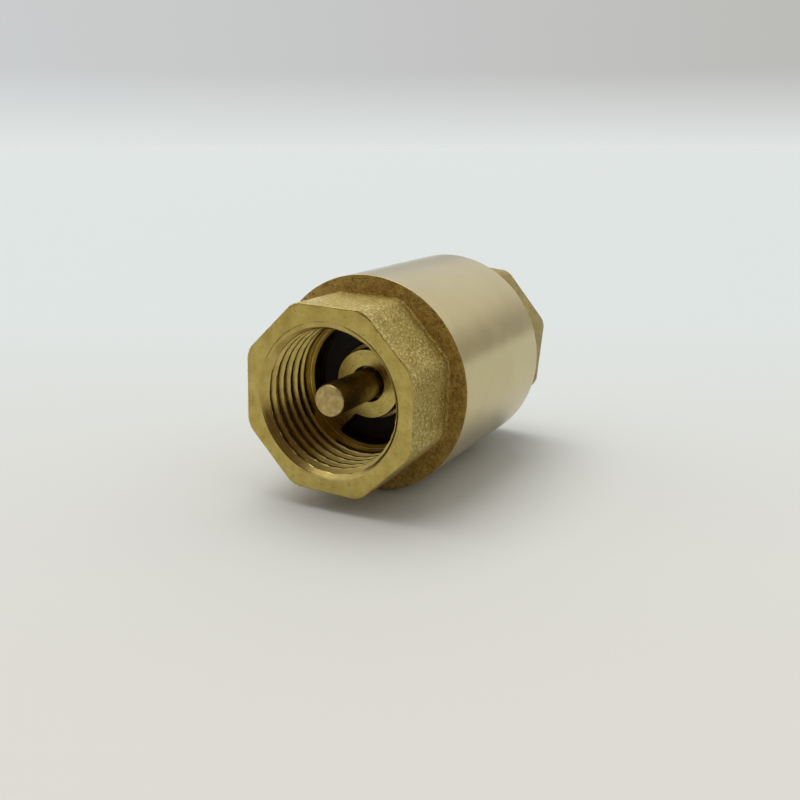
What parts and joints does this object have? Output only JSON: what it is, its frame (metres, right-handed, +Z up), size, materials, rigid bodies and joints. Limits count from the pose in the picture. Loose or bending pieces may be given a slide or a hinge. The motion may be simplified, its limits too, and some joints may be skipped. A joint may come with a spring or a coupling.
{
  "type": "check valve",
  "caption": "Brass inline spring check valve with female pipe threads and octagonal wrench ends; a sprung poppet on a guided stem seals against a lip.",
  "frame": {"origin": "on the surface the valve lies on, under the middle of its length", "axes": "+X along the flow axis from the inlet face to the outlet face, +Z up from the surface that the barrel lies on"},
  "size_m": [0.049, 0.032, 0.032],
  "materials": {
    "cast_brass": "blasted casting with turned faces",
    "turned_brass": "fine turned",
    "stem_brass": "bright turned",
    "spring_steel": "drawn wire",
    "seal_rubber": "matt moulded"
  },
  "bodies": {
    "valve_body": {"inlet_cap": "cast_brass", "outlet_body": "turned_brass", "body_seal_ring": "seal_rubber", "spring": "spring_steel"},
    "poppet": {"stem": "stem_brass", "seal_retainer": "stem_brass", "seal_washer": "seal_rubber", "poppet_plate": "stem_brass", "lock_nut": "stem_brass"}
  },
  "joints": [
    {"name": "poppet_lift", "type": "slide", "parent": "valve_body", "child": "poppet", "axis": [1, 0, 0], "range_m": [0, 0.006], "stiffness_N_per_m": 250, "springref_m": -0.004, "deforming": ["spring"]}
  ]
}
